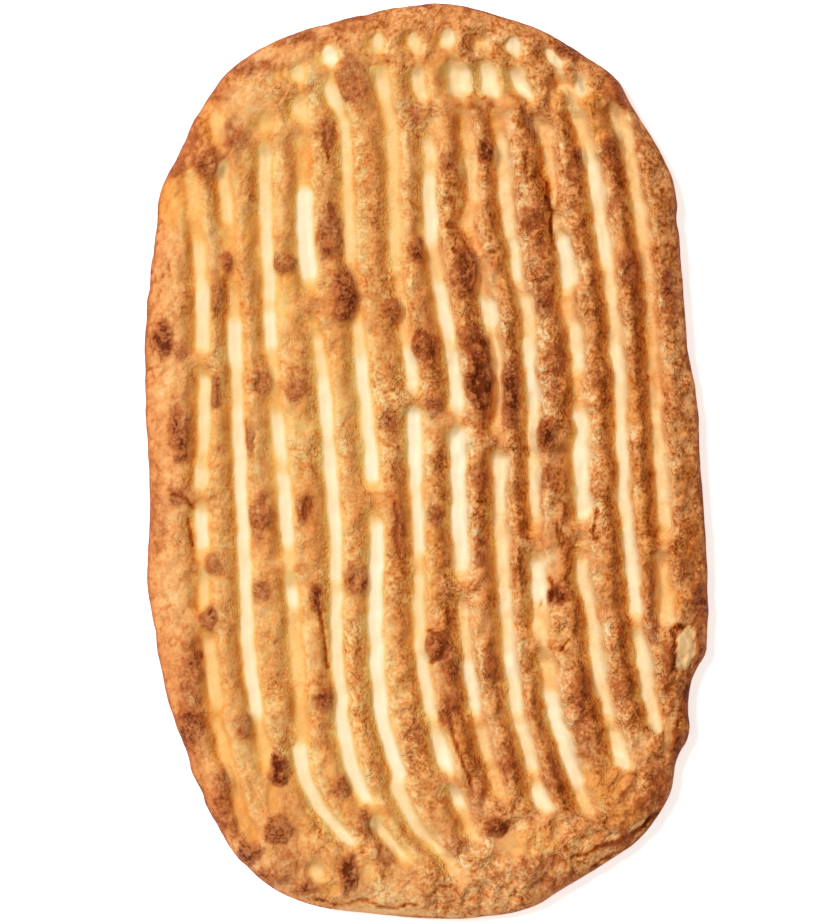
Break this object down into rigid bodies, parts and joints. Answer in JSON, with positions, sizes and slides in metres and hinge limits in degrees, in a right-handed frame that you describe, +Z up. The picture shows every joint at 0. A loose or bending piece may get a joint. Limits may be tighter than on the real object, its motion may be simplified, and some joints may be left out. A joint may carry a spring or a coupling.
{
  "type": "barbari bread",
  "caption": "Long oval flatbread loaf with a rounded rim and finger grooves pressed along its browned top, flat underneath.",
  "frame": {"origin": "centre of the loaf's length and width, on the flat underside", "axes": "+Y along the loaf towards its head, +X across it, +Z up out of the grooved top"},
  "size_m": [0.296, 0.48, 0.0268],
  "materials": {
    "crust": "matte baked crust, cream in the grooves, golden to brown on the ridges"
  },
  "bodies": {
    "root": {"loaf": "crust"}
  },
  "joints": []
}
